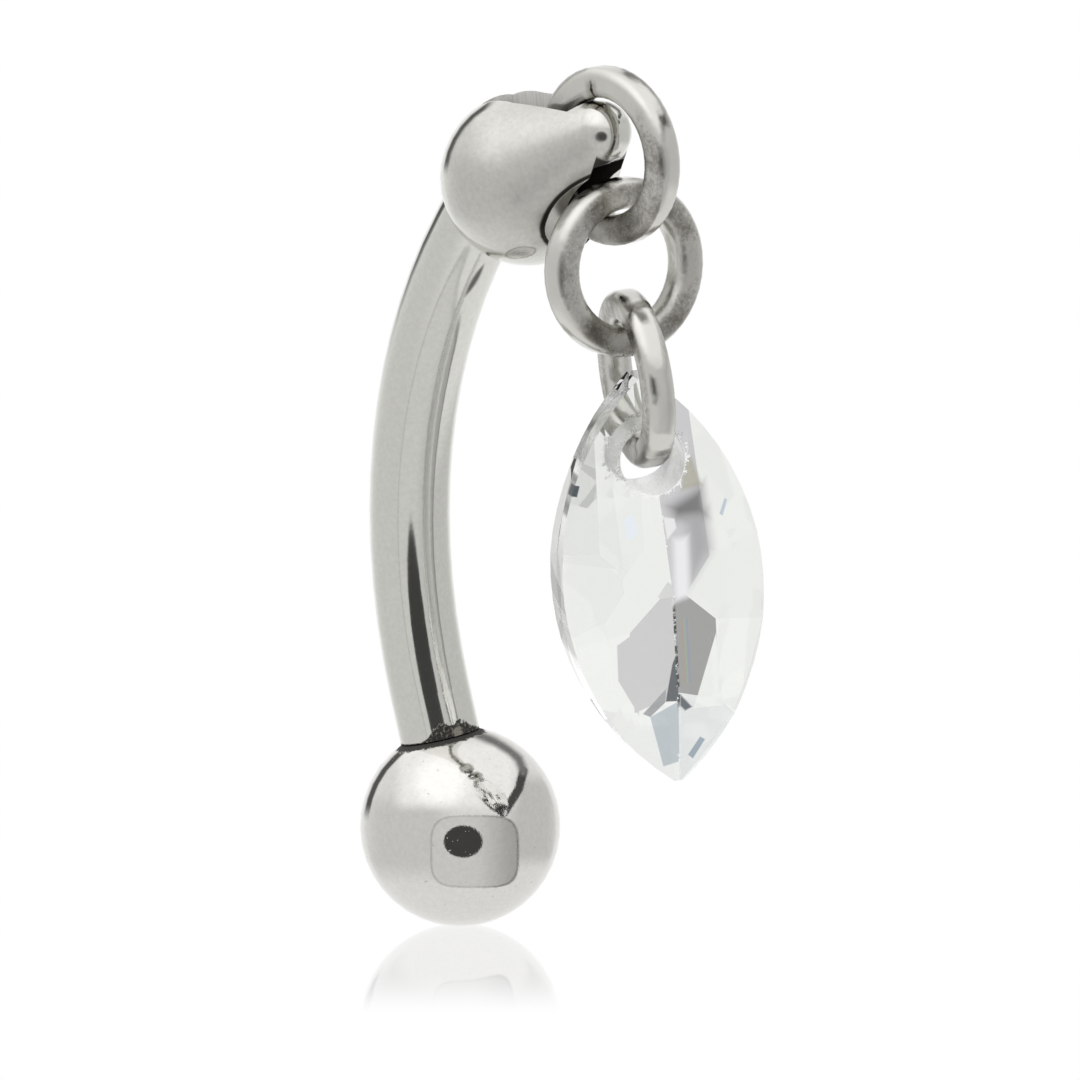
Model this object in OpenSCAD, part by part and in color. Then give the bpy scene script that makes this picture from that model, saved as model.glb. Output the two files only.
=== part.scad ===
/*
  Rook barbell with a hanging crystal, in millimetres.
  Z is up, X runs from the bar towards the drop, and Y = 0 is the plane that the bar bends in.
  The origin is the middle of the bar, which is the stretch that sits in the ear.
*/

/* [Bar] */
// Diameter of the bar
bar_d = 1.2; // [1.0:0.1:1.6]
// Radius of the bar's bend, along its centre line
bend_r = 9.2; // [8.5:0.1:11]
// Angle of the bend, from the straight stretch to the head's skin
bend_angle = 49.5; // [44:0.5:54]
// Straight stretch above the lower ball
straight_len = 0.7; // [0.3:0.1:1.2]
// Lean of the straight stretch, away from the drop
bar_lean = 8.5; // [4:0.5:12]

/* [Lower ball] */
// Diameter of the lower ball
ball_d = 3.0; // [2.5:0.1:4.0]
// Diameter of the bar's threaded end, made plain
pin_d = 0.85; // [0.7:0.05:0.95]
// Length of the threaded end inside the ball
pin_len = 1.6; // [1.0:0.1:2.0]

/* [Head] */
// Diameter of the head's ball
head_d = 2.6; // [2.4:0.1:3.0]
// How far the head's ball sits off the bar's centre line, towards the drop
head_inset = 0.32; // [0.2:0.02:0.4]
// Diameter of the rounded nose that the top link hangs on
nose_d = 0.94; // [0.9:0.02:0.96]
// Distance of the nose from the head's ball, along X
nose_reach = 1.62; // [1.58:0.02:1.66]
// Height of the nose above the centre of the head's ball
nose_rise = 0.8; // [0.76:0.02:0.84]
// Width of the slot for the top link
slot_w = 0.68; // [0.66:0.01:0.72]
// Radius of the slot, from the nose
slot_r = 2.1; // [1.9:0.05:2.2]

/* [Links] */
// Radius of a link, along the centre line of its wire
link_r = 1.11; // [1.09:0.005:1.13]
// Thickness of the flat-sided wire
wire_w = 0.46; // [0.42:0.01:0.48]
// Radius of the wire's corners
wire_round = 0.15; // [0.12:0.01:0.17]

/* [Crystal] */
// Length of the crystal from tip to tip
crystal_len = 6.35; // [6:0.05:7]
// Width of the crystal
crystal_w = 3.1; // [3:0.05:3.4]
// Depth of the front ridge at the crystal's middle
ridge_depth = 0.8; // [0.75:0.01:0.85]
// Depth of the flat table on the back
table_depth = 0.73; // [0.65:0.01:0.78]
// Diameter of the hole
hole_d = 1.0; // [0.94:0.02:1.04]
// Distance of the hole's centre from the upper tip
hole_from_tip = 1.28; // [1.2:0.01:1.34]

/* [Hidden] */
$fn = 64;

// gap between pieces that touch, and the reach of a cutting solid
touch_gap = 0.02;
cut_reach = 4;

// the bend runs from low_angle to high_angle, measured up from the centre's level
half_bar = (straight_len + bend_r * bend_angle * PI / 180) / 2;
low_angle = -bar_lean;
high_angle = low_angle + bend_angle;
mid_angle = low_angle + (half_bar - straight_len) / bend_r * 180 / PI;
bend_centre = [bend_r * cos(mid_angle), -bend_r * sin(mid_angle)];
// the bar goes on this many degrees inside the head
bar_overrun = 3;

// distance along the straight stretch from the bend to the shoulder and the ball's centre
ball_seat = sqrt(pow(ball_d / 2, 2) - pow(bar_d / 2, 2));
pin_slack = 0.02;

// the head's ball lies on past the bar's end, by an angle that puts the bar's end on its skin
head_orbit = bend_r - head_inset;
head_ahead = acos(1 - (pow(head_d / 2, 2) - pow(head_inset, 2)) / (2 * bend_r * head_orbit));
head_centre = on_bend(high_angle + head_ahead, head_orbit);
nose_centre = head_centre + [nose_reach, nose_rise];
// the slot stays this far off the nose
nose_skin = 0.01;
// the neck's cone stays this much inside the balls that it joins
neck_inset = 0.01;
// the hollow under the nose, where the middle link swings
hollow_r = 1.4;
hollow_offset = [0.62, -1.89];

// the links hang below each other
link_inner = link_r - wire_w / 2;
link_outer = link_r + wire_w / 2;
link_gap = 0.06;
link_step = 2 * link_inner - link_gap;
// the links' centres are below the nose and a little in front of it
drop_ahead = 0.17;
drop_x = nose_centre.x + drop_ahead;
nose_play = link_inner - nose_d / 2 - nose_skin - touch_gap;
top_z = nose_centre.y - sqrt(nose_play * nose_play - drop_ahead * drop_ahead);
middle_z = top_z - link_step;
lower_z = middle_z - link_step;
// turn of each piece's flat side about Z, from facing -Y
top_turn = -2;
middle_turn = 78;
lower_turn = -30;
// lean of the top link, about X
top_lean = 4;

// the crystal hangs on the lower link by the edges of its hole
crystal_turn = 60;
crystal_tilt = 3;
hole_half_depth = 0.54;
hole_gap = 0.04;
hole_top_z = lower_z - sqrt(pow(link_inner, 2) - pow(hole_half_depth, 2)) + hole_gap;
hole_z = hole_top_z - hole_d / 2;
tip_blunt = 0.06;
outline_r = (pow(crystal_len / 2, 2) + pow(crystal_w / 2, 2)) / crystal_w;

// the facets of one quarter of a face: turn to the side, lean to the tip, depth at the middle
ridge_drop = 0.02;
facets_up = [
    [10.0, 8.6, ridge_depth - ridge_drop],
    [16.7, 8.4, ridge_depth - ridge_drop + 0.083]
];
facets_down = [
    [10.0, 8.6, ridge_depth + ridge_drop],
    [16.7, 8.4, ridge_depth + ridge_drop + 0.083],
    [7.0, 16.5, ridge_depth + ridge_drop + 0.24]
];
facet_side = [18.5, 0, ridge_depth + 0.031];

function on_bend(angle, radius) = bend_centre + radius * [-cos(angle), sin(angle)];

module at_xz(p) {
    translate([p.x, 0, p.y]) children();
}

// turns the children about the bend's centre, with their X pointing at the bar's low end
module at_bend() {
    at_xz(bend_centre) rotate([-90, 0, 0]) rotate([0, 0, 180 + low_angle]) children();
}

// stands the children on the bend's low end, with their Z pointing down into the ball
module at_bar_end() {
    at_bend() translate([bend_r, 0, 0]) rotate([90, 0, 0]) children();
}

// a cylinder across the plane of the bend
module across(radius, width) {
    rotate([90, 0, 0]) cylinder(h = width, r = radius, center = true);
}

module bend() {
    at_bend()
        rotate_extrude(angle = bend_angle + bar_overrun)
            translate([bend_r, 0]) circle(d = bar_d);
}

// the cone from the head's ball to the nose
module neck() {
    span = norm([nose_reach, nose_rise]);
    taper = (head_d - nose_d) / 2 / span;
    narrowing = sqrt(1 - taper * taper);
    from = head_d / 2 * taper;
    to = span + nose_d / 2 * taper;
    at_xz(head_centre)
        rotate([0, atan2(nose_reach, nose_rise), 0])
            translate([0, 0, from])
                cylinder(
                    h = to - from,
                    r1 = head_d / 2 * narrowing - neck_inset,
                    r2 = nose_d / 2 * narrowing - neck_inset
                );
}

// a cut across the neck, from the hollow to the back of the nose, which it goes round
module slot() {
    difference() {
        at_xz(nose_centre) across(slot_r, slot_w);
        at_xz(nose_centre) across(nose_d / 2 + nose_skin, slot_w + 1);
    }
}

module bar() {
    color("silver") {
        difference() {
            union() {
                bend();
                at_xz(head_centre) sphere(d = head_d);
                neck();
                at_xz(nose_centre) sphere(d = nose_d);
            }
            slot();
            at_xz(nose_centre + hollow_offset) across(hollow_r, cut_reach);
        }
        at_bar_end() {
            cylinder(h = straight_len, d = bar_d);
            translate([0, 0, straight_len / 2]) cylinder(h = straight_len / 2 + pin_len, d = pin_d);
        }
    }
}

module end_ball() {
    centre = straight_len + touch_gap + ball_seat;
    color("gainsboro") at_bar_end() difference() {
        translate([0, 0, centre]) sphere(d = ball_d);
        translate([0, 0, centre - ball_seat - ball_d]) cylinder(h = ball_d, r = ball_d);
        cylinder(h = straight_len + pin_len + touch_gap, d = pin_d + 2 * pin_slack);
    }
}

module wire_section() {
    flat = wire_w / 2 - wire_round;
    square([wire_w, 2 * flat], center = true);
    square([2 * flat, wire_w], center = true);
    for (x = [-flat, flat], y = [-flat, flat])
        translate([x, y]) circle(r = wire_round);
}

// a link that faces along -Y
module link() {
    rotate([90, 0, 0]) rotate_extrude() translate([link_r, 0]) wire_section();
}

module top_link() {
    color("lightgray") at_xz(nose_centre)
        rotate([-top_lean, 0, 0])
            translate([drop_ahead, 0, top_z - nose_centre.y])
                rotate([0, 0, top_turn]) link();
}

module middle_link() {
    color("darkgray") translate([drop_x, 0, middle_z]) rotate([0, 0, middle_turn]) link();
}

module lower_link() {
    color("lightgray") translate([drop_x, 0, lower_z]) rotate([0, 0, lower_turn]) link();
}

// takes away all that lies in front of one facet
module facet_cut(side, end, facet) {
    translate([0, -facet[2], 0])
        rotate([-end * facet[1], 0, side * facet[0]])
            translate([-cut_reach, -cut_reach, -cut_reach])
                cube([2 * cut_reach, cut_reach, 2 * cut_reach]);
}

// all the facets of the front face, which looks along -Y
module face_cuts() {
    for (side = [-1, 1]) {
        facet_cut(side, 1, facet_side);
        for (facet = facets_up) facet_cut(side, 1, facet);
        for (facet = facets_down) facet_cut(side, -1, facet);
    }
}

module crystal_outline() {
    shift = outline_r - crystal_w / 2;
    intersection() {
        translate([-shift, 0, 0]) across(outline_r, 2);
        translate([shift, 0, 0]) across(outline_r, 2);
        cube([crystal_w + 1, 3, crystal_len - 2 * tip_blunt], center = true);
    }
}

module crystal() {
    hole_up = crystal_len / 2 - hole_from_tip;
    color("azure") translate([drop_x, 0, hole_z])
        rotate([crystal_tilt, 0, crystal_turn])
            translate([0, 0, -hole_up]) difference() {
                crystal_outline();
                face_cuts();
                mirror([0, 1, 0]) face_cuts();
                translate([-cut_reach, table_depth, -cut_reach]) cube(2 * cut_reach);
                translate([0, 0, hole_up]) across(hole_d / 2, cut_reach);
            }
}

bar();
end_ball();
top_link();
middle_link();
lower_link();
crystal();
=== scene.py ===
import math

import bpy
from mathutils import Matrix, Vector

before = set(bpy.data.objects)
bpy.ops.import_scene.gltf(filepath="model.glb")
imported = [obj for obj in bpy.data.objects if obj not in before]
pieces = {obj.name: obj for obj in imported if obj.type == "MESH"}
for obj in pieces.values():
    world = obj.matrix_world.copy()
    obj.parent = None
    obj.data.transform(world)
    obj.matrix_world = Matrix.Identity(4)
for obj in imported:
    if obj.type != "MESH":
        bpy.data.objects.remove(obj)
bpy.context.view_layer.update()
MM = 0.001


# The bar and its head are one piece of polished surgical steel, turned and bent.
# Wear has left its shine fine-grained. The slot is left as the cutter made it, and grime has
# caught on the side that faces the camera, above the ball. Painted shade darkens the joint above
# the ball, the slot below the nose and the edge of the hollow.

bend_radius, bar_lean, bend_turn = 9.2 * MM, math.radians(8.5), math.radians(41)
bend_centre = Vector((8.924, 0, -2.2366)) * MM
straight_stretch = 0.7 * MM
head_centre = Vector((3.0975, 0, 4.4644)) * MM
nose, nose_radius = Vector((4.7175, 0, 5.2644)) * MM, 0.47 * MM
slot_radius, slot_half_width = 2.1 * MM, 0.34 * MM
hollow_centre, hollow_radius = nose + Vector((0.62, 0, -1.89)) * MM, 1.4 * MM
down_bar = Vector((math.sin(bar_lean), 0, -math.cos(bar_lean)))
bend_end = bend_centre - bend_radius * Vector((math.cos(bar_lean), 0, math.sin(bar_lean)))
shoulder = bend_end + straight_stretch * down_bar
bar_top = bend_centre + bend_radius * Vector((-math.cos(bend_turn), 0, math.sin(bend_turn)))
up_bar = Vector((math.sin(bend_turn), 0, math.cos(bend_turn)))
upright = Vector((0, 0, 1))

# the camera looks from the front right, a little from above, and is rolled
view_turn, view_rise, view_roll = math.radians(45), math.radians(12), math.radians(6.5)
back = Vector(
    (
        math.sin(view_turn) * math.cos(view_rise),
        -math.cos(view_turn) * math.cos(view_rise),
        math.sin(view_rise),
    )
)
level_right = Vector((math.cos(view_turn), math.sin(view_turn), 0))
level_up = back.cross(level_right)
right = math.cos(view_roll) * level_right - math.sin(view_roll) * level_up
up = math.sin(view_roll) * level_right + math.cos(view_roll) * level_up


def empty_tree(holder):
    """Empties the node tree of a new material or world, and returns it."""
    holder.use_nodes = True
    holder.node_tree.nodes.clear()
    return holder.node_tree


def fill(tree, socket, value):
    """Gives a socket a plain value, or links it to the output of another node."""
    if isinstance(value, bpy.types.NodeSocket):
        tree.links.new(value, socket)
    else:
        socket.default_value = value


def shader_node(tree, kind, sockets=None, **settings):
    """Adds a node with these settings, and fills its sockets."""
    new = tree.nodes.new(kind)
    for name, value in settings.items():
        setattr(new, name, value)
    for socket, value in (sockets or {}).items():
        fill(tree, new.inputs[socket], value)
    return new


def own_place(tree):
    """Where a point lies on its piece, in the frame's metres."""
    return shader_node(tree, "ShaderNodeTexCoord").outputs["Object"]


def maths(tree, operation, *values):
    return shader_node(tree, "ShaderNodeMath", dict(enumerate(values)), operation=operation).outputs[0]


def product(tree, *values):
    total = values[0]
    for value in values[1:]:
        total = maths(tree, "MULTIPLY", total, value)
    return total


def greatest(tree, *values):
    most = values[0]
    for value in values[1:]:
        most = maths(tree, "MAXIMUM", most, value)
    return most


def opposite(tree, share):
    """1 where the share is 0, and 0 where it is 1."""
    return maths(tree, "SUBTRACT", 1.0, share)


def fade(tree, value, start, end):
    """0 at start and 1 at end, and smooth between them. It falls where start is the greater."""
    sockets = {0: value, 1: min(start, end), 2: max(start, end)}
    sockets[3], sockets[4] = (0.0, 1.0) if start < end else (1.0, 0.0)
    return shader_node(tree, "ShaderNodeMapRange", sockets, interpolation_type="SMOOTHSTEP").outputs[0]


def vector_maths(tree, operation, *values, output=0):
    return shader_node(
        tree, "ShaderNodeVectorMath", dict(enumerate(values)), operation=operation
    ).outputs[output]


def along(tree, place, start, direction):
    """How far the place lies from the start, along the direction."""
    offset = vector_maths(tree, "SUBTRACT", place, start)
    return vector_maths(tree, "DOT_PRODUCT", offset, direction, output="Value")


def distance(tree, place, point):
    return vector_maths(tree, "DISTANCE", place, point, output="Value")


def flat_point(tree, x, y):
    return shader_node(tree, "ShaderNodeCombineXYZ", {0: x, 1: y}).outputs[0]


def noise(tree, place, per_mm, detail, roughness=0.5):
    """Noise whose marks repeat this many times in a millimetre along X, Y and Z."""
    scaled = vector_maths(tree, "MULTIPLY", place, [marks / MM for marks in per_mm])
    sockets = {"Vector": scaled, "Scale": 1.0, "Detail": detail, "Roughness": roughness}
    return shader_node(tree, "ShaderNodeTexNoise", sockets).outputs[0]


def tint(tree, amount, first, second):
    """A colour between the first and the second."""
    mix = shader_node(tree, "ShaderNodeMix", data_type="RGBA")
    for name, value in {"Factor": amount, "A": first, "B": second}.items():
        fill(tree, next(s for s in mix.inputs if s.name == name and s.enabled), value)
    return next(s for s in mix.outputs if s.enabled)


def blend_value(tree, amount, first, second):
    """A number between the first and the second."""
    return maths(tree, "ADD", product(tree, amount, maths(tree, "SUBTRACT", second, first)), first)


def steel_start(name):
    """A new metal material: returns it with its tree, its shader and the place on the piece."""
    material = bpy.data.materials.new(name)
    tree = empty_tree(material)
    shader = shader_node(tree, "ShaderNodeBsdfPrincipled", {"Metallic": 1.0})
    shader_node(tree, "ShaderNodeOutputMaterial", {"Surface": shader.outputs[0]})
    return material, tree, shader, own_place(tree)


def set_sockets(tree, shader, **values):
    for name, value in values.items():
        fill(tree, shader.inputs[name.replace("_", " ")], value)


def bump(tree, height, depth, **start):
    """A surface normal pushed in and out by this height map, whose full depth is in metres."""
    sockets = {"Height": height, "Distance": depth, "Strength": 1.0, **start}
    return shader_node(tree, "ShaderNodeBump", sockets).outputs[0]


def finish_on(piece, material):
    """Puts one finish on a whole CAD piece."""
    piece.data.materials.clear()
    piece.data.materials.append(material)


STEEL = (0.67, 0.667, 0.63, 1.0)
DULL_STEEL = (0.62, 0.617, 0.58, 1.0)
SATIN_STEEL = (0.59, 0.585, 0.55, 1.0)
DULL_SATIN = (0.52, 0.515, 0.485, 1.0)
CUT_STEEL = (0.98, 0.97, 0.95, 1.0)
DULL_CUT = (0.76, 0.75, 0.72, 1.0)
DIRT_AND_SHADE = (0.035, 0.032, 0.028, 1.0)
PALE_GRIT = (0.30, 0.28, 0.24, 1.0)
DIRT_ROUGHNESS = 0.8
# the span of a noise over which a surface turns from its dull colour to its bright one
MOTTLE = (0.3, 0.7)

bar_steel, tree, shader, place = steel_start("bar_polished_steel")
grain = noise(tree, place, (13, 13, 13), detail=5.0, roughness=0.7)
haze = noise(tree, place, (1.4, 1.4, 1.4), detail=2.0)
on_head = fade(tree, along(tree, place, bar_top, up_bar), -0.05 * MM, 0.10 * MM)

# the cut walls of the slot, with streaks across them
slot_edge = 0.01 * MM
flat_place = vector_maths(tree, "MULTIPLY", place, (1, 0, 1))
side = maths(tree, "ABSOLUTE", shader_node(tree, "ShaderNodeSeparateXYZ", {0: place}).outputs["Y"])
in_slot = product(
    tree,
    fade(tree, side, slot_half_width + slot_edge, slot_half_width + 0.4 * slot_edge),
    fade(tree, distance(tree, flat_place, nose), slot_radius + 2 * slot_edge, slot_radius + slot_edge),
    fade(tree, distance(tree, place, nose), nose_radius + slot_edge, nose_radius + 3 * slot_edge),
)
slot_streaks = noise(tree, place, (26, 3, 1.2), detail=3.0, roughness=0.7)

# painted shade, with some soot, darkens the slot below the nose, and a line of painted shade runs
# along the edge of the hollow
hollow_shade_width, hollow_shade_soft, hollow_shade_inset = 0.07 * MM, 0.03 * MM, 0.002 * MM
from_hollow = distance(tree, flat_place, hollow_centre)
hollow_edge_shade = product(
    tree,
    on_head,
    fade(tree, from_hollow, hollow_radius + hollow_shade_width, hollow_radius + hollow_shade_width - hollow_shade_soft),
    fade(tree, from_hollow, hollow_radius + hollow_shade_inset, hollow_radius + 4 * hollow_shade_inset),
)
below_nose = fade(tree, along(tree, place, nose, upright), -0.10 * MM, -0.35 * MM)
soot_and_shade = greatest(tree, product(tree, in_slot, below_nose), hollow_edge_shade)

# the near flank of the head is rubbed to a satin finish
flank_middle, flank_reach, flank_core = head_centre + 1.2 * MM * back, 1.60 * MM, 1.00 * MM
near_flank = fade(tree, distance(tree, place, flank_middle), flank_reach, flank_core)
satin = product(tree, on_head, near_flank)

# a slanted nick lies on the bar, just below the head, between two bows
nick_middle = bar_top - 0.057 * MM * right - 0.934 * MM * up
nick_side = Vector((0.858, -0.514, 0))
nick_half_length, nick_half_width, nick_soft = 0.36 * MM, 0.065 * MM, 0.05 * MM
nick_bow = (nick_half_length**2 + nick_half_width**2) / (2 * nick_half_width)
nick_point = flat_point(
    tree, along(tree, place, nick_middle, right), along(tree, place, nick_middle, up)
)
nick = fade(tree, along(tree, place, bar_top - 0.7 * MM * up_bar, back), 0.0, 0.1 * MM)
for way in (-1, 1):
    bow_centre = way * (nick_bow - nick_half_width) * nick_side
    from_bow = distance(tree, nick_point, bow_centre)
    nick = product(tree, nick, fade(tree, from_bow, nick_bow, nick_bow - nick_soft))

# an oval spot, perhaps of solder, shows at the foot of the head
spot_middle = head_centre - 0.10 * MM * right - 1.11 * MM * up
spot_half_length, spot_half_width, spot_slope, spot_waver = 0.25 * MM, 0.09 * MM, 0.15, 0.4
spot_length_way, spot_width_way = right + spot_slope * up, up - spot_slope * right
spot_point = flat_point(
    tree,
    product(tree, along(tree, place, spot_middle, spot_length_way), 1 / spot_half_length),
    product(tree, along(tree, place, spot_middle, spot_width_way), 1 / spot_half_width),
)
spot_reach = maths(
    tree,
    "ADD",
    vector_maths(tree, "LENGTH", spot_point, output="Value"),
    product(tree, maths(tree, "SUBTRACT", grain, 0.5), spot_waver),
)
spot_side = fade(tree, along(tree, place, head_centre, back), 0.0, 0.2 * MM)
solder_spot = product(tree, spot_side, fade(tree, spot_reach, 1.05, 0.85))
solder_rim = product(tree, solder_spot, fade(tree, spot_reach, 0.70, 0.90))

# dirt is caked above the ball, with a gritty mound on the near side and a pale speck in it, and a
# thin dark line, part dirt and part painted shade in the crease, runs all round the joint
mound_half_width, mound_core, mound_offset = 0.46 * MM, 0.10 * MM, 0.16 * MM
mound_height, joint_dirt_and_shade_line, dirt_soft = 0.40 * MM, 0.05 * MM, 0.02 * MM
above_shoulder = along(tree, place, shoulder, -down_bar)
across_mound = maths(tree, "ABSOLUTE", along(tree, place, shoulder + mound_offset * right, right))
mound_shape = fade(tree, across_mound, mound_half_width, mound_core)
mound_side = fade(tree, along(tree, place, shoulder, back), 0.0, 0.25 * MM)
dirt_edge = noise(tree, place, (6, 6, 6), detail=5.0, roughness=0.65)
dirt_and_shade_height = maths(
    tree,
    "ADD",
    product(tree, mound_shape, mound_side, dirt_edge, mound_height),
    product(tree, dirt_edge, joint_dirt_and_shade_line),
)
dirt_and_joint_shade = fade(tree, maths(tree, "SUBTRACT", dirt_and_shade_height, above_shoulder), 0.0, dirt_soft)
grit = fade(tree, noise(tree, place, (22, 22, 22), detail=2.0), 0.52, 0.66)
speck_middle, speck_radius = shoulder + (0.27 * right + 0.05 * up + 0.53 * back) * MM, 0.16 * MM
speck_waver = product(tree, grain, 0.12 * MM)
speck_reach = maths(tree, "ADD", distance(tree, place, speck_middle), speck_waver)
speck = fade(tree, speck_reach, speck_radius, 0.75 * speck_radius)

mottle = fade(tree, grain, *MOTTLE)
streaked = tint(tree, fade(tree, slot_streaks, *MOTTLE), DULL_CUT, CUT_STEEL)
colour = tint(tree, mottle, DULL_STEEL, STEEL)
colour = tint(tree, in_slot, colour, streaked)
colour = tint(tree, satin, colour, tint(tree, mottle, DULL_SATIN, SATIN_STEEL))
colour = tint(tree, greatest(tree, product(tree, solder_spot, 0.30), solder_rim), colour, PALE_GRIT)
# the painted shade in the slot and along the hollow, and the dark nick, darken the steel here
colour = tint(tree, greatest(tree, soot_and_shade, product(tree, nick, 0.85)), colour, DIRT_AND_SHADE)
soil = tint(tree, greatest(tree, product(tree, grit, 0.75), speck), DIRT_AND_SHADE, PALE_GRIT)

CUT_METALLIC, CUT_ROUGHNESS, SATIN_ROUGHNESS = 0.3, 0.45, 0.34
polish = blend_value(tree, haze, 0.06, 0.13)
roughness = blend_value(tree, satin, polish, SATIN_ROUGHNESS)
roughness = blend_value(tree, in_slot, roughness, CUT_ROUGHNESS)
grain_depth, streak_depth, dirt_depth = 0.0003 * MM, 0.006 * MM, 0.08 * MM
height = blend_value(tree, dirt_and_joint_shade, blend_value(tree, in_slot, grain, slot_streaks), dirt_edge)
depth = blend_value(tree, dirt_and_joint_shade, blend_value(tree, in_slot, grain_depth, streak_depth), dirt_depth)
set_sockets(
    tree,
    shader,
    Base_Color=tint(tree, dirt_and_joint_shade, colour, soil),
    Metallic=product(tree, opposite(tree, dirt_and_joint_shade), blend_value(tree, in_slot, 1.0, CUT_METALLIC)),
    Roughness=greatest(tree, roughness, product(tree, dirt_and_joint_shade, DIRT_ROUGHNESS)),
    Normal=bump(tree, height, depth),
)
finish_on(pieces["bar"], bar_steel)


# The lower ball is polished steel, screwed on the bar's threaded end up to its shoulder.
# It is worn: faint scratches swirl over it, dirt and painted shade ring its seam, and dust and pits dot
# it.

ball_radius, bar_radius, seat_gap = 1.5 * MM, 0.6 * MM, 0.02 * MM
ball_centre = shoulder + down_bar * (seat_gap + math.sqrt(ball_radius**2 - bar_radius**2))
BALL_STEEL = (0.68, 0.67, 0.645, 1.0)
DULL_BALL_STEEL = (0.63, 0.62, 0.595, 1.0)
PIT = (0.25, 0.24, 0.22, 1.0)
DUST = (0.60, 0.60, 0.58, 1.0)

ball_steel, tree, shader, place = steel_start("ball_polished_steel")
haze = noise(tree, place, (1.1, 1.1, 1.1), detail=2.0)
grain = noise(tree, place, (13, 13, 13), detail=4.0, roughness=0.7)
scratches, scratch_depth = noise(tree, place, (5, 60, 34), detail=2.0), 0.0004 * MM
dust = fade(tree, noise(tree, place, (24, 24, 24), detail=1.0), 0.73, 0.79)
pits = fade(tree, noise(tree, place, (9, 9, 9), detail=1.0), 0.76, 0.80)

# the dark ring round the seam is part dirt and part painted shade in the crease, and it is
# thicker on the near side
far_ring, near_ring = 0.03 * MM, 0.12 * MM
below_shoulder = along(tree, place, shoulder, down_bar)
seam_edge = noise(tree, place, (8, 8, 8), detail=4.0, roughness=0.7)
seam_front = fade(tree, along(tree, place, ball_centre, back), -0.6 * MM, 0.6 * MM)
seam_reach = product(tree, seam_edge, blend_value(tree, seam_front, far_ring, near_ring))
seam_dirt_and_shade = fade(tree, maths(tree, "SUBTRACT", below_shoulder, seam_reach), 0.03 * MM, 0.005 * MM)

colour = tint(tree, fade(tree, grain, *MOTTLE), DULL_BALL_STEEL, BALL_STEEL)
colour = tint(tree, product(tree, pits, 0.4), colour, PIT)
colour = tint(tree, dust, colour, DUST)
soiled_and_shaded = greatest(tree, seam_dirt_and_shade, dust)
polish = blend_value(tree, haze, 0.02, 0.07)
set_sockets(
    tree,
    shader,
    Base_Color=tint(tree, seam_dirt_and_shade, colour, DIRT_AND_SHADE),
    Metallic=opposite(tree, soiled_and_shaded),
    Roughness=greatest(tree, polish, product(tree, soiled_and_shaded, DIRT_ROUGHNESS)),
    Normal=bump(tree, scratches, scratch_depth),
)
finish_on(pieces["end_ball"], ball_steel)


# The three links are bent from flat-sided steel wire and closed with a butt seam.
# Their inner and outer walls are polished, and their flat faces are left grey and grainy.
# Each hangs in the one above it, and the top one hangs on the nose.

drop_x, top_height, link_step = 4.8875 * MM, 4.9245 * MM, 1.70 * MM
wire_half, corner_reach = 0.23 * MM, 0.14 * MM
# each link with the turn of its flat side and the place of its seam, in degrees
LINKS = [("top_link", -2, 94), ("middle_link", 78, 265), ("lower_link", -30, 290)]

WALL, DULL_WALL = (0.66, 0.655, 0.62, 1.0), (0.54, 0.53, 0.50, 1.0)
FACE, DULL_FACE = (0.55, 0.54, 0.505, 1.0), (0.24, 0.225, 0.20, 1.0)
# the painted shade at the foot of each link
FOOT_SHADE = (0.12, 0.11, 0.095, 1.0)
SEAM_STAIN = (0.20, 0.17, 0.13, 1.0)

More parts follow.
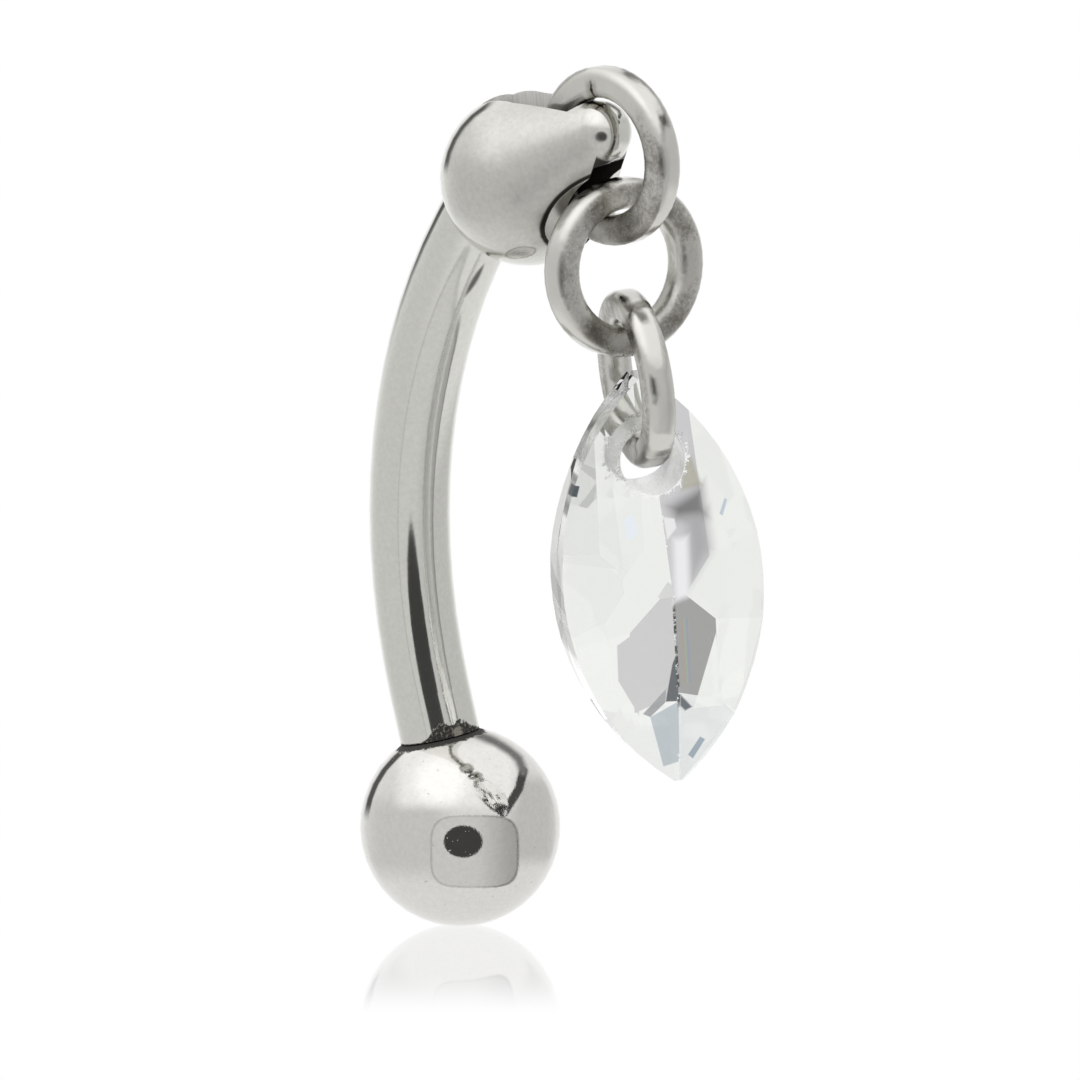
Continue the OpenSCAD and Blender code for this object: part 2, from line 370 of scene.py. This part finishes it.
for steps_down, (name, turn, seam) in enumerate(LINKS):
    turn, seam = math.radians(turn), math.radians(seam)
    centre = Vector((drop_x, 0, top_height - steps_down * link_step))
    facing = Vector((math.sin(turn), -math.cos(turn), 0))
    link_side = Vector((math.cos(turn), math.sin(turn), 0))
    seam_way = math.cos(seam) * link_side + math.sin(seam) * upright
    across_seam = facing.cross(seam_way)

    link_steel, tree, shader, place = steel_start(name + "_steel")
    from_flat = maths(tree, "ABSOLUTE", along(tree, place, centre, facing))
    flat = fade(tree, from_flat, wire_half - 0.05 * MM, wire_half - 0.005 * MM)
    grain = noise(tree, place, (16, 16, 16), detail=5.0, roughness=0.75)
    haze = noise(tree, place, (1.6, 1.6, 1.6), detail=3.0)

    # the seam is a wandering cut with a stain round it, and it doesn't reach the outer wall
    seam_reach = along(tree, place, centre, seam_way)
    on_seam = product(
        tree,
        fade(tree, seam_reach, 0.2 * MM, 0.5 * MM),
        fade(tree, seam_reach, 1.22 * MM, 1.08 * MM),
    )
    wander = product(tree, maths(tree, "SUBTRACT", grain, 0.5), 0.14 * MM)
    to_seam = maths(tree, "ABSOLUTE", along(tree, place, centre, across_seam))
    to_seam = maths(tree, "ADD", to_seam, wander)
    cut = product(tree, on_seam, fade(tree, to_seam, 0.035 * MM, 0.010 * MM))
    stain = product(tree, on_seam, fade(tree, to_seam, 0.16 * MM, 0.05 * MM), grain)

    # the flat faces are patchy, and painted shade darkens them at the foot of the link, where the next
    # link hangs
    patina = maths(tree, "ADD", product(tree, haze, 0.65), product(tree, grain, 0.35))
    foot_shade = fade(tree, along(tree, place, centre, upright), -0.60 * MM, -1.15 * MM)
    wall_colour = tint(tree, haze, DULL_WALL, WALL)
    face_colour = tint(tree, fade(tree, patina, 0.40, 0.60), DULL_FACE, FACE)
    colour = tint(tree, flat, wall_colour, face_colour)
    colour = tint(tree, product(tree, foot_shade, flat, 0.40), colour, FOOT_SHADE)
    colour = tint(tree, stain, colour, SEAM_STAIN)

    wall_roughness = blend_value(tree, haze, 0.05, 0.14)
    face_roughness = blend_value(tree, grain, 0.16, 0.34)
    round_corners = shader_node(tree, "ShaderNodeBevel", {"Radius": corner_reach}, samples=4)
    set_sockets(
        tree,
        shader,
        Base_Color=tint(tree, cut, colour, DIRT_AND_SHADE),
        Roughness=blend_value(tree, flat, wall_roughness, face_roughness),
        Normal=bump(
            tree,
            maths(tree, "ADD", haze, product(tree, flat, grain, 0.15)),
            blend_value(tree, flat, 0.020 * MM, 0.030 * MM),
            Normal=round_corners.outputs[0],
        ),
    )
    finish_on(pieces[name], link_steel)


# The drop is clear crystal, cut with a ridge in front and a small table at the back, and polished.
# Each facet's tint is painted light and shade, which stands in for what the facet shows by
# refraction and reflection. The drill left the wall of the hole frosted and its rims chipped, and
# wear has chipped the ridge.

crystal_turn, crystal_tilt = math.radians(60), math.radians(3)
hole_centre, hole_radius = Vector((drop_x, 0, 0.3697 * MM)), 0.5 * MM
hole_above_middle = 1.895 * MM
crystal_side = Vector((math.cos(crystal_turn), math.sin(crystal_turn), 0))
crystal_front = Vector(
    (
        math.sin(crystal_turn) * math.cos(crystal_tilt),
        -math.cos(crystal_turn) * math.cos(crystal_tilt),
        -math.sin(crystal_tilt),
    )
)
crystal_up = crystal_front.cross(crystal_side)
middle = hole_centre - hole_above_middle * crystal_up

glass = bpy.data.materials.new("cut_crystal")
tree = empty_tree(glass)
place = own_place(tree)
sideways = along(tree, place, middle, crystal_side)
upwards = along(tree, place, middle, crystal_up)
in_front = fade(tree, along(tree, place, middle, crystal_front), 0.0, 0.1 * MM)
# a point of the front in millimetres to the side and up from the middle
on_front = flat_point(tree, product(tree, sideways, 1 / MM), product(tree, upwards, 1 / MM))
surface = shader_node(tree, "ShaderNodeNewGeometry")
outside = opposite(tree, surface.outputs["Backfacing"])
# the normal is turned with the crystal, so that each facet keeps its painted tint as the crystal swings
own_normal = shader_node(
    tree,
    "ShaderNodeVectorTransform",
    {0: surface.outputs["True Normal"]},
    vector_type="NORMAL",
    convert_from="WORLD",
    convert_to="OBJECT",
).outputs[0]

wall_edge, chip_reach = 0.002 * MM, 0.16 * MM
chipping = noise(tree, place, (11, 11, 11), detail=4.0, roughness=0.7)
from_hole = distance(tree, flat_point(tree, sideways, upwards), (0, hole_above_middle, 0))
in_hole = fade(tree, from_hole, hole_radius + 3 * wall_edge, hole_radius - wall_edge)
chip_depth = product(tree, fade(tree, chipping, 0.45, 0.75), chip_reach)
rim_reach = maths(tree, "SUBTRACT", from_hole, chip_depth)
rim_chips = fade(tree, rim_reach, hole_radius + 6 * wall_edge, hole_radius + wall_edge)
from_ridge = maths(tree, "ABSOLUTE", sideways)
ridge_chips = product(
    tree,
    in_front,
    fade(tree, from_ridge, 0.035 * MM, 0.010 * MM),
    fade(tree, noise(tree, place, (12, 12, 12), detail=3.0, roughness=0.8), 0.56, 0.62),
)


def facet_normal(side, end, turn, lean):
    """Which way a front facet faces, from its turn to one side and its lean to one end."""
    turn, lean = math.radians(turn), math.radians(lean)
    level_way = side * math.sin(turn) * crystal_side + math.cos(turn) * crystal_front
    return math.cos(lean) * level_way + end * math.sin(lean) * crystal_up


def on_facet(normal):
    """1 on the outside of the facet that faces this way, and 0 elsewhere."""
    match = vector_maths(tree, "DOT_PRODUCT", own_normal, normal, output="Value")
    return product(tree, outside, fade(tree, match, 0.9980, 0.9993))


def glass_colour(painted_tone_seen):
    """The colour whose root, which is what the shader passes, is the one that is seen."""
    return (*(part**2 for part in painted_tone_seen), 1.0)


# the front facets: the side and the end that they lie on, how far they turn and lean in degrees,
# and their tint, which is painted light and shade
FACET_PAINTED_LIGHT = [
    {"side": -1, "end": 1, "turn": 10.0, "lean": 8.6, "tint": (0.90, 0.91, 0.89)},
    {"side": -1, "end": 1, "turn": 16.7, "lean": 8.4, "tint": (0.87, 0.88, 0.86)},
    {"side": -1, "end": 1, "turn": 18.5, "lean": 0.0, "tint": (0.90, 0.91, 0.89)},
    {"side": -1, "end": -1, "turn": 16.7, "lean": 8.4, "tint": (0.88, 0.89, 0.87)},
    {"side": -1, "end": -1, "turn": 10.0, "lean": 8.6, "tint": (0.61, 0.61, 0.61)},
    {"side": -1, "end": -1, "turn": 7.0, "lean": 16.5, "tint": (0.88, 0.89, 0.88)},
    {"side": 1, "end": 1, "turn": 10.0, "lean": 8.6, "tint": (0.62, 0.61, 0.63)},
    {"side": 1, "end": 1, "turn": 16.7, "lean": 8.4, "tint": (0.88, 0.89, 0.87)},
    {"side": 1, "end": 1, "turn": 18.5, "lean": 0.0, "tint": (0.88, 0.89, 0.87)},
    {"side": 1, "end": -1, "turn": 16.7, "lean": 8.4, "tint": (0.90, 0.91, 0.89)},
    {"side": 1, "end": -1, "turn": 10.0, "lean": 8.6, "tint": (0.37, 0.37, 0.365)},
    {"side": 1, "end": -1, "turn": 7.0, "lean": 16.5, "tint": (0.80, 0.82, 0.82)},
]
CLEAR = (0.985, 0.99, 0.98)
colour = glass_colour(CLEAR)
for facet in FACET_PAINTED_LIGHT:
    normal = facet_normal(facet["side"], facet["end"], facet["turn"], facet["lean"])
    colour = tint(tree, on_facet(normal), colour, glass_colour(facet["tint"]))


def patch(corners, soft):
    """1 inside a flat shape of the front, whose corners run anticlockwise, and 0 outside it."""
    depth = 1.0
    for start, end in zip(corners, corners[1:] + corners[:1]):
        inward = Vector((start[1] - end[1], end[0] - start[0], 0)).normalized()
        depth = maths(tree, "MINIMUM", depth, along(tree, on_front, Vector((*start, 0)), inward))
    return product(tree, in_front, outside, fade(tree, depth, -soft, soft))


# the back facets that show through the front ones are painted as patches of light and shade: how
# soft their edges are, their tint, and their corners, all in millimetres to the side and up from the
# middle
PAINTED_BACK_FACETS = [
    # below the hole, to the right of the ridge: a brown corner, a silvery facet and bright ones
    (0.05, (0.48, 0.46, 0.40), [(0.36, 1.38), (0.70, 1.40), (0.60, 1.85), (0.46, 1.80)]),
    (0.16, (0.42, 0.42, 0.43), [(0.32, 0.05), (0.72, 0.45), (0.72, 1.00), (0.36, 0.95)]),
    (0.14, (0.20, 0.20, 0.20), [(0.20, 0.98), (0.72, 0.94), (0.72, 1.40), (0.12, 1.20)]),
    (0.08, (0.86, 0.86, 0.88), [(0.02, -0.20), (0.26, -0.16), (0.36, 0.70), (0.13, 0.70)]),
    (0.02, (0.84, 0.84, 0.85), [(0.03, 0.72), (0.20, 0.86), (0.19, 1.00), (0.02, 1.06)]),
    # small painted flashes of light and shade: pale blue left of the ridge, nearly black at the left
    # edge, blue on the right
    (0.01, (0.87, 0.92, 0.98), [(-0.55, 0.77), (-0.39, 0.86), (-0.42, 1.18), (-0.57, 1.09)]),
    (0.01, (0.12, 0.14, 0.16), [(-1.31, 1.52), (-1.18, 1.49), (-1.12, 1.65), (-1.22, 1.68)]),
    (0.01, (0.55, 0.62, 0.70), [(0.93, 0.92), (0.98, 0.88), (1.09, 1.09), (1.05, 1.13)]),
    # the grey pair of facets in the lower half, the left one widened and the right one trimmed,
    # and the dark facets at their foot
    (0.01, (0.61, 0.61, 0.61), [(-0.86, -0.80), (-0.87, -1.36), (-0.60, -1.95), (-0.60, -0.62)]),
    (0.01, (0.88, 0.89, 0.87), [(0.23, -1.97), (0.72, -2.02), (0.66, -0.85)]),
    (0.01, (0.13, 0.14, 0.15), [(0.0, -1.80), (0.0, -1.03), (-0.07, -1.19), (-0.20, -1.78)]),
    (0.01, (0.38, 0.39, 0.40), [(-0.54, -1.93), (-0.43, -2.0), (-0.20, -1.79), (-0.18, -1.57)]),
    (0.02, (0.15, 0.17, 0.19), [(0.02, -1.88), (0.10, -1.98), (0.22, -1.94), (0.02, -1.68)]),
    # two blue facets near the lower tip
    (0.01, (0.52, 0.57, 0.60), [(-0.43, -2.0), (-0.24, -2.85), (0.0, -2.80), (0.0, -1.80)]),
    (0.01, (0.36, 0.42, 0.48), [(0.14, -2.72), (0.22, -2.80), (0.42, -2.52), (0.34, -2.46)]),
    # painted red, green and blue lines that stand in for the light the glass splits off beside the ridge
    (0.01, (0.43, 0.35, 0.31), [(0.10, -1.55), (0.13, -1.55), (0.13, -0.50), (0.10, -0.50)]),
    (0.01, (0.34, 0.42, 0.34), [(0.14, -1.55), (0.17, -1.55), (0.17, -0.50), (0.14, -0.50)]),
    (0.01, (0.33, 0.35, 0.43), [(0.18, -1.55), (0.21, -1.55), (0.21, -0.50), (0.18, -0.50)]),
]
for soft, painted_tone_seen, corners in PAINTED_BACK_FACETS:
    colour = tint(tree, patch(corners, soft), colour, glass_colour(painted_tone_seen))

# painted shade: dark dashes run down the lower half of the ridge
RIDGE_SHADE = (0.08, 0.08, 0.08)
ridge_shade_dashes = product(
    tree,
    in_front,
    outside,
    fade(tree, from_ridge, 0.030 * MM, 0.015 * MM),
    fade(tree, upwards, -0.20 * MM, -0.35 * MM),
    fade(tree, upwards, -2.00 * MM, -1.80 * MM),
    fade(tree, noise(tree, place, (1, 1, 9), detail=1.0), 0.42, 0.48),
)
colour = tint(tree, ridge_shade_dashes, colour, glass_colour(RIDGE_SHADE))

CRYSTAL_IOR = 1.56
FROST, DULL_FROST = (1.0, 1.0, 1.0, 1.0), (0.97, 0.97, 0.96, 1.0)
clear = shader_node(
    tree,
    "ShaderNodeBsdfPrincipled",
    {"Base Color": colour, "Transmission Weight": 1.0, "IOR": CRYSTAL_IOR, "Roughness": 0.0},
)
frosted = shader_node(
    tree,
    "ShaderNodeBsdfPrincipled",
    {
        "Base Color": tint(tree, chipping, DULL_FROST, FROST),
        "Transmission Weight": 0.9,
        "IOR": CRYSTAL_IOR,
        "Roughness": 0.4,
        "Normal": bump(tree, chipping, 0.03 * MM),
    },
)
dulled = greatest(tree, product(tree, in_hole, 0.8), rim_chips, ridge_chips)
mixed = shader_node(tree, "ShaderNodeMixShader", {0: dulled, 1: clear.outputs[0], 2: frosted.outputs[0]})
shader_node(tree, "ShaderNodeOutputMaterial", {"Surface": mixed.outputs[0]})
finish_on(pieces["crystal"], glass)


# The camera stands far off behind a long lens, so that the view is as flat as the photo's.
# Its frame is as wide as the photo, which shows the piece at 67 pixels to the millimetre.

photo_width, pixels_per_mm = 1080, 67
frame_width = photo_width / pixels_per_mm * MM
look_at = Vector((1.461, 1.035, -1.416)) * MM
camera_distance, sensor_width = 0.6, 36

lens = bpy.data.cameras.new("camera")
lens.sensor_width = sensor_width
lens.lens = sensor_width * camera_distance / frame_width
lens.clip_start = 0.01
camera = bpy.data.objects.new("camera", lens)
camera.location = look_at + back * camera_distance
camera.rotation_mode = "QUATERNION"
camera.rotation_quaternion = Matrix((right, up, back)).transposed().to_quaternion()
bpy.context.scene.collection.objects.link(camera)
bpy.context.scene.camera = camera


# The floor is a flat white board with a gloss, and the ball all but rests on it.
# Its shine fades towards the camera, and past that it is as white as the backdrop.

floor_view, floor_reach, floor_gap = math.radians(12), 150 * MM, 0.01 * MM
floor_up = math.cos(floor_view) * up + math.sin(floor_view) * back
floor_front = right.cross(floor_up)
contact = ball_centre - floor_up * (ball_radius + floor_gap)
shine_end, shine_full, shine_share = 6.2 * MM, 3.2 * MM, 0.38
WHITE = (1, 1, 1, 1)

floor_corners = [
    contact + floor_reach * (x * right + y * floor_front)
    for x, y in ((-1, -1), (1, -1), (1, 1), (-1, 1))
]
floor_mesh = bpy.data.meshes.new("floor")
floor_mesh.from_pydata(floor_corners, [], [(0, 1, 2, 3)])
floor = bpy.data.objects.new("floor", floor_mesh)
bpy.context.scene.collection.objects.link(floor)
floor.visible_glossy = floor.visible_transmission = floor.visible_diffuse = False

board = bpy.data.materials.new("pale_board")
tree = empty_tree(board)
forward = along(tree, own_place(tree), contact, floor_front)
shine = product(tree, fade(tree, forward, shine_end, shine_full), shine_share)
white = shader_node(tree, "ShaderNodeEmission", {"Color": WHITE, "Strength": 1.0})
mirror = shader_node(tree, "ShaderNodeBsdfGlossy", {"Color": WHITE, "Roughness": 0.04})
mixed = shader_node(tree, "ShaderNodeMixShader", {0: shine, 1: white.outputs[0], 2: mirror.outputs[0]})
shader_node(tree, "ShaderNodeOutputMaterial", {"Surface": mixed.outputs[0]})
floor_mesh.materials.append(board)


# The light is a white tent. It is brightest overhead and greyer in front, round its opening with
# the dark lens, and it has a dark seam on the right and a gap behind, round the white backdrop.

studio = bpy.data.worlds.new("studio")
tree = empty_tree(studio)
way = shader_node(tree, "ShaderNodeTexCoord").outputs["Generated"]
# every direction is given by where a mirror ball would show it, in ball radii from its middle,
# and the small extra keeps the way straight behind from a division by nothing
halfway = maths(tree, "ADD", along(tree, way, (0, 0, 0), back), 1.0001)
shrink = maths(tree, "SQRT", product(tree, halfway, 2.0))
across = maths(tree, "DIVIDE", along(tree, way, (0, 0, 0), right), shrink)
upward = maths(tree, "DIVIDE", along(tree, way, (0, 0, 0), up), shrink)
on_ball = flat_point(tree, across, upward)
from_middle = vector_maths(tree, "LENGTH", on_ball, output="Value")


def panel(left, low, right_end, high, soft):
    """1 inside this rectangle of the ball, and 0 outside it."""
    return product(
        tree,
        fade(tree, across, left - soft, left + soft),
        fade(tree, across, right_end + soft, right_end - soft),
        fade(tree, upward, low - soft, low + soft),
        fade(tree, upward, high + soft, high - soft),
    )


def rounded(x, y, half_width, half_height, power):
    """How far out a direction lies from this rounded shape's middle: 1 is on its edge."""
    powers = []
    for value, centre, half in ((across, x, half_width), (upward, y, half_height)):
        share = maths(tree, "DIVIDE", maths(tree, "SUBTRACT", value, centre), half)
        powers.append(maths(tree, "POWER", maths(tree, "ABSOLUTE", share), power))
    return maths(tree, "POWER", maths(tree, "ADD", *powers), 1 / power)


def from_line(corners):
    """How far a direction lies on the ball from a line through these corners."""
    nearest = None
    for start, end in zip(corners, corners[1:]):
        start, end = Vector((*start, 0)), Vector((*end, 0))
        stretch = (end - start) / (end - start).length_squared
        share = greatest(tree, along(tree, on_ball, start, stretch), 0.0)
        step = shader_node(
            tree,
            "ShaderNodeVectorMath",
            {0: end - start, "Scale": maths(tree, "MINIMUM", share, 1.0)},
            operation="SCALE",
        )
        reach = distance(tree, on_ball, vector_maths(tree, "ADD", step.outputs[0], start))
        nearest = reach if nearest is None else maths(tree, "MINIMUM", nearest, reach)
    return nearest


def lit(where, light, brightness):
    """The light, changed to this brightness where the mask is 1."""
    return blend_value(tree, where, light, brightness)


TENT, LOWER_LEFT, RIGHT_WALL, ROOF, LAMP, BACKDROP = 1.0, 0.81, 0.74, 1.25, 1.55, 1.0
light = lit(panel(-0.93, -0.48, -0.15, 0.26, soft=0.14), TENT, LOWER_LEFT)
light = lit(panel(0.50, -0.36, 0.96, 0.48, soft=0.10), light, RIGHT_WALL)
light = lit(panel(-0.62, 0.20, 0.55, 0.84, soft=0.08), light, ROOF)
light = lit(fade(tree, rounded(-0.20, 0.46, 0.34, 0.30, power=2.0), 1.1, 0.4), light, LAMP)
light = lit(fade(tree, from_middle, 0.94, 0.97), light, BACKDROP)

# the opening is a rounded square, which is greyer on its right and has a dark hem
OPENING_LEFT, OPENING_RIGHT, HEM = 0.84, 0.52, 0.2
opening = rounded(0.144, -0.25, 0.433, 0.355, power=4.0)
opening_grey = blend_value(tree, fade(tree, across, 0.10, 0.58), OPENING_LEFT, OPENING_RIGHT)
light = lit(fade(tree, opening, 1.01, 0.99), light, opening_grey)
hem = product(tree, fade(tree, opening, 0.965, 0.99), fade(tree, opening, 1.035, 1.01))
hem_depth = blend_value(tree, fade(tree, across, 0.1, 0.5), 0.35, 0.8)
light = lit(product(tree, hem, hem_depth), light, HEM)

# the dark parts show in the steel alone: the crystal is so clear that it shows the white ones
LENS, CROOK, ROOF_GAP, SIDE_GAP = 0.07, 0.09, 0.25, 0.12
paths = shader_node(tree, "ShaderNodeLightPath").outputs
mirrored = opposite(tree, paths["Is Transmission Ray"])
lens_spot = fade(tree, rounded(0.03, -0.15, 0.194, 0.16, power=2.0), 1.03, 0.97)
light = lit(product(tree, mirrored, lens_spot), light, LENS)
crook = from_line([(0.44, 0.14), (0.587, 0.37), (0.635, 0.55)])
light = lit(product(tree, mirrored, fade(tree, crook, 0.050, 0.036)), light, CROOK)
roof_gap = from_line([(0.635, 0.55), (0.59, 0.67), (0.49, 0.76), (0.34, 0.85), (0.19, 0.91)])
light = lit(product(tree, mirrored, fade(tree, roof_gap, 0.075, 0.01)), light, ROOF_GAP)
side_gap = product(
    tree,
    mirrored,
    fade(tree, from_middle, 0.905, 0.925),
    fade(tree, from_middle, 0.978, 0.955),
    fade(tree, across, -0.38, -0.50),
    fade(tree, upward, 0.02, 0.22),
)
light = lit(side_gap, light, SIDE_GAP)
# the camera itself sees plain white behind the piece
light = lit(paths["Is Camera Ray"], light, BACKDROP)
glow = shader_node(tree, "ShaderNodeBackground", {"Color": WHITE, "Strength": light})
shader_node(tree, "ShaderNodeOutputWorld", {"Surface": glow.outputs[0]})
bpy.context.scene.world = studio
bpy.context.scene.view_settings.view_transform = "Standard"
